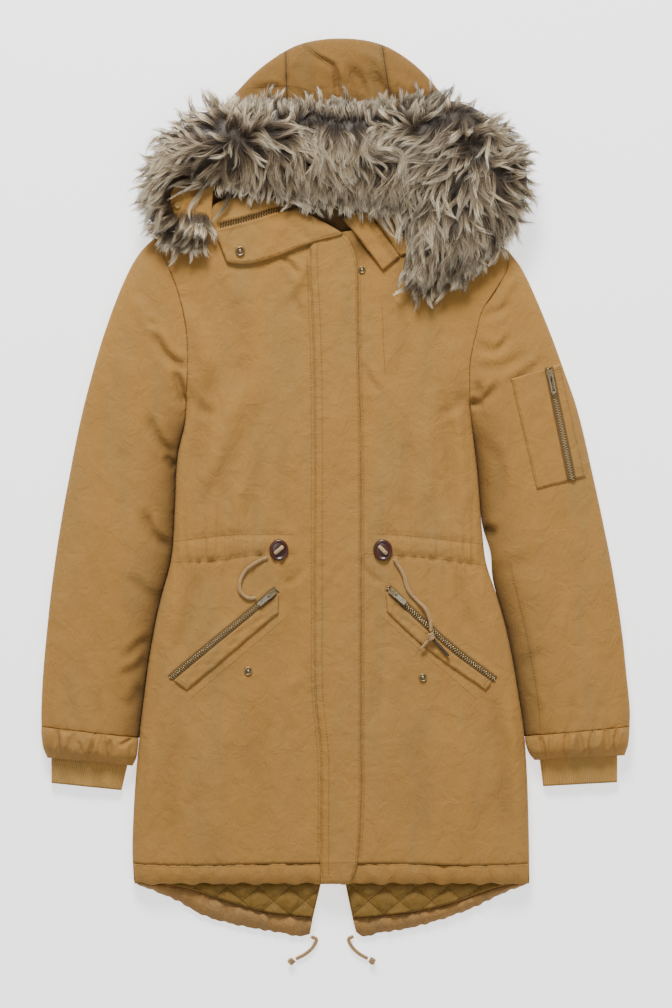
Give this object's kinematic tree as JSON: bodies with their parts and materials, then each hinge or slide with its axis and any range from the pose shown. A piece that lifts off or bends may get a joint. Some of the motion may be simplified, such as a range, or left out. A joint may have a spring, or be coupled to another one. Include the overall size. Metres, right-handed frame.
{
  "type": "hooded padded parka laid flat",
  "caption": "Padded hip-length parka with a fur trimmed hood, zip pockets, drawstring waist and fishtail hem, laid flat on its back.",
  "frame": {"origin": "middle of the coat's bounding box on the surface it lies on, without its free drawstring ends", "axes": "+Z out of the surface, +Y from the hem to the hood, +X to the wearer's left"},
  "size_m": [0.736, 1.1602, 0.0824],
  "materials": {
    "shell": "dry tan cotton twill, faintly washed",
    "lining": "olive gold satin lining, quilted in the tail",
    "knit": "rib knit",
    "fur": "long grey brown faux fur",
    "brass": "antique brass",
    "button": "dark burgundy horn look",
    "cord": "braided cotton cord"
  },
  "bodies": {
    "coat": {"back_left": "shell", "back_right": "shell", "collar_facing_left": "lining", "collar_left": "shell", "collar_right": "shell", "collar_zip": "shell", "cuff_left": "knit", "cuff_right": "knit", "front_left": "shell", "front_right": "shell", "fur_trim": "fur", "hem_back_left": "shell", "hem_back_right": "shell", "hem_cord_left": "cord", "hem_cord_right": "cord", "hem_front_left": "shell", "hem_front_right": "shell", "hem_knot_left": "cord", "hem_knot_right": "cord", "hood_back": "shell", "hood_button_right": "cord", "hood_centre": "shell", "hood_corner_right": "lining", "hood_side_left": "shell", "hood_side_right": "shell", "lining_left": "lining", "lining_right": "lining", "pen_pocket": "shell", "placket": "shell", "pocket_left_slider": "brass", "pocket_right_slider": "brass", "pocket_welt_left": "shell", "pocket_welt_right": "shell", "pocket_zip_left": "brass", "pocket_zip_right": "brass", "sleeve_band_left": "shell", "sleeve_band_right": "shell", "sleeve_left": "shell", "sleeve_pocket": "shell", "sleeve_right": "shell", "sleeve_slider": "brass", "sleeve_zip": "brass", "snap_collar_left": "brass", "snap_collar_right": "brass", "snap_front": "brass", "snap_pocket_left": "brass", "snap_pocket_right": "brass", "toggle_cord_left": "cord", "toggle_cord_right": "cord", "toggle_left": "button", "toggle_right": "button", "waist_cord_left": "cord", "waist_cord_right": "cord", "waist_knot": "cord", "waist_stub": "cord", "waist_tip": "brass"},
    "pull_pocket_right": {"pocket_right_pull": "brass"},
    "pull_pocket_left": {"pocket_left_pull": "brass"},
    "pull_sleeve": {"sleeve_pull": "brass"}
  },
  "joints": [
    {"name": "pocket_right_pull_hinge", "type": "hinge", "parent": "coat", "child": "pull_pocket_right", "pos_m": [-0.08183, -0.13437, 0.03515], "axis": [-0.6407, 0.7677, 0], "range_deg": [0, 120]},
    {"name": "pocket_left_pull_hinge", "type": "hinge", "parent": "coat", "child": "pull_pocket_left", "pos_m": [0.07373, -0.13249, 0.03515], "axis": [-0.6513, -0.7589, 0], "range_deg": [0, 120]},
    {"name": "sleeve_pull_hinge", "type": "hinge", "parent": "coat", "child": "pull_sleeve", "pos_m": [0.26803, 0.14021, 0.03506], "axis": [-0.9792, -0.2028, 0], "range_deg": [0, 120]}
  ]
}
